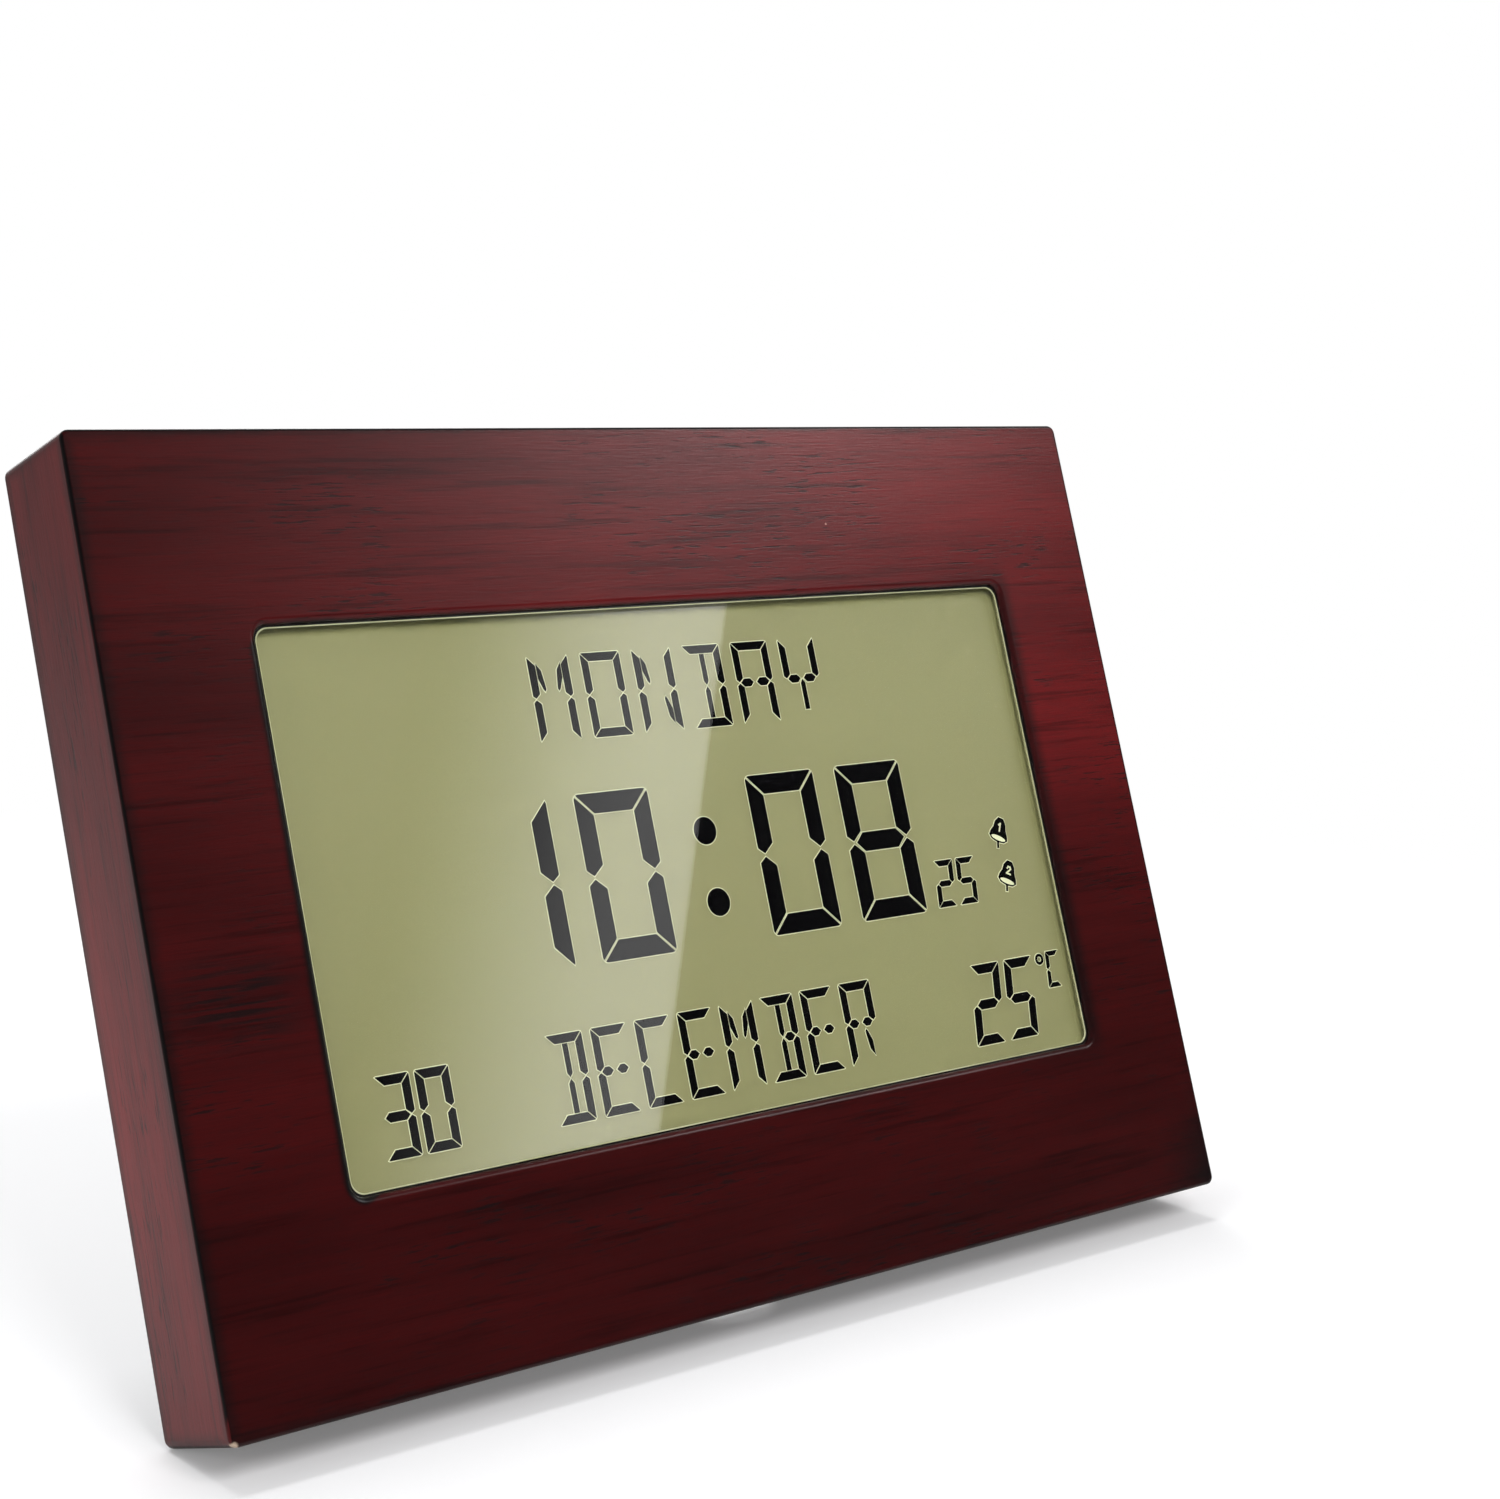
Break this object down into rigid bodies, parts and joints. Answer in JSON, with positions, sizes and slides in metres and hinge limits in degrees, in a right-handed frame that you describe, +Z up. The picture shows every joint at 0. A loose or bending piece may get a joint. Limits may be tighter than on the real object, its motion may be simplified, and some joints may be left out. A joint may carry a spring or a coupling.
{
  "type": "digital calendar clock",
  "caption": "Table clock with a wide calendar display in a lacquered wooden case, folding U-shaped rear stand, setting buttons, wall keyhole and battery compartment.",
  "frame": {"origin": "middle of the footprint, on the table, with the stand open", "axes": "+X to the right as seen from the front, +Y towards the back, +Z up; the display faces -Y and leans back"},
  "size_m": [0.23, 0.0784, 0.1631],
  "materials": {
    "mahogany": "satin lacquer",
    "raw_wood": "sawn",
    "clear_plastic": "polished",
    "display_glass": "polished",
    "grey_plastic": "moulded",
    "ribbon_film": "film",
    "black_plastic": "fine texture",
    "dark_steel": "blackened",
    "steel": "plain",
    "stand_plastic": "speckled texture",
    "cell_jacket": "printed film",
    "chrome": "plated",
    "black_epoxy": "plain",
    "circuit_green": "solder mask",
    "brass": "plain",
    "foam": "open cell",
    "lead_insulation": "extruded"
  },
  "bodies": {
    "case": {"front_board": "mahogany", "top_rail": "mahogany", "left_rail": "mahogany", "right_rail": "mahogany", "bottom_rail": "mahogany", "screw_block_1": "raw_wood", "screw_block_2": "raw_wood", "screw_block_3": "raw_wood", "screw_block_4": "raw_wood", "screw_block_5": "raw_wood", "screw_block_6": "raw_wood", "window_lens": "clear_plastic", "lcd_glass": "display_glass", "lcd_retainer": "grey_plastic", "lcd_ribbon": "ribbon_film", "back_cover": "black_plastic", "cover_screw_1": "dark_steel", "cover_screw_2": "dark_steel", "cover_screw_3": "dark_steel", "cover_screw_4": "dark_steel", "cover_screw_5": "dark_steel", "cover_screw_6": "dark_steel", "cover_pin_1": "steel", "cover_pin_2": "steel", "cover_pin_3": "steel", "cover_pin_4": "steel", "battery_upper": "cell_jacket", "battery_lower": "cell_jacket", "battery_link": "steel", "battery_terminal_plus": "steel", "battery_terminal_minus": "steel", "switch_1": "black_epoxy", "switch_2": "black_epoxy", "switch_3": "black_epoxy", "switch_4": "black_epoxy", "switch_5": "black_epoxy", "circuit_board": "circuit_green", "circuit_screw_1": "steel", "circuit_screw_2": "steel", "circuit_screw_3": "steel", "circuit_screw_4": "steel", "chip_blob": "black_epoxy", "quartz_crystal": "steel", "capacitor_1": "black_epoxy", "capacitor_2": "black_epoxy", "thermistor": "black_epoxy", "sounder": "brass", "sounder_foam": "foam", "battery_lead_1": "lead_insulation", "battery_lead_2": "lead_insulation", "sounder_lead_1": "lead_insulation", "sounder_lead_2": "lead_insulation"},
    "stand": {"stand": "stand_plastic"},
    "battery_door": {"battery_door": "black_plastic"},
    "button_set": {"button_set": "chrome"},
    "button_mode": {"button_mode": "chrome"},
    "button_up": {"button_up": "chrome"},
    "button_down": {"button_down": "chrome"},
    "button_alarm": {"button_alarm": "chrome"}
  },
  "joints": [
    {"name": "stand_hinge", "type": "hinge", "parent": "case", "child": "stand", "pos_m": [0, 0.0212, 0.12212], "axis": [1, 0, 0], "range_deg": [-26, 0]},
    {"name": "battery_door_hinge", "type": "hinge", "parent": "case", "child": "battery_door", "pos_m": [0, -0.0112, 0.03607], "axis": [-1, 0, 0], "range_deg": [0, 75]},
    {"name": "button_set_press", "type": "slide", "parent": "case", "child": "button_set", "axis": [0, -0.9469, 0.3217], "range_m": [0, 0.0005], "stiffness_N_per_m": 300},
    {"name": "button_mode_press", "type": "slide", "parent": "case", "child": "button_mode", "axis": [0, -0.9469, 0.3217], "range_m": [0, 0.0005], "stiffness_N_per_m": 300},
    {"name": "button_up_press", "type": "slide", "parent": "case", "child": "button_up", "axis": [0, -0.9469, 0.3217], "range_m": [0, 0.0005], "stiffness_N_per_m": 300},
    {"name": "button_down_press", "type": "slide", "parent": "case", "child": "button_down", "axis": [0, -0.9469, 0.3217], "range_m": [0, 0.0005], "stiffness_N_per_m": 300},
    {"name": "button_alarm_press", "type": "slide", "parent": "case", "child": "button_alarm", "axis": [0, -0.9469, 0.3217], "range_m": [0, 0.0005], "stiffness_N_per_m": 300}
  ]
}
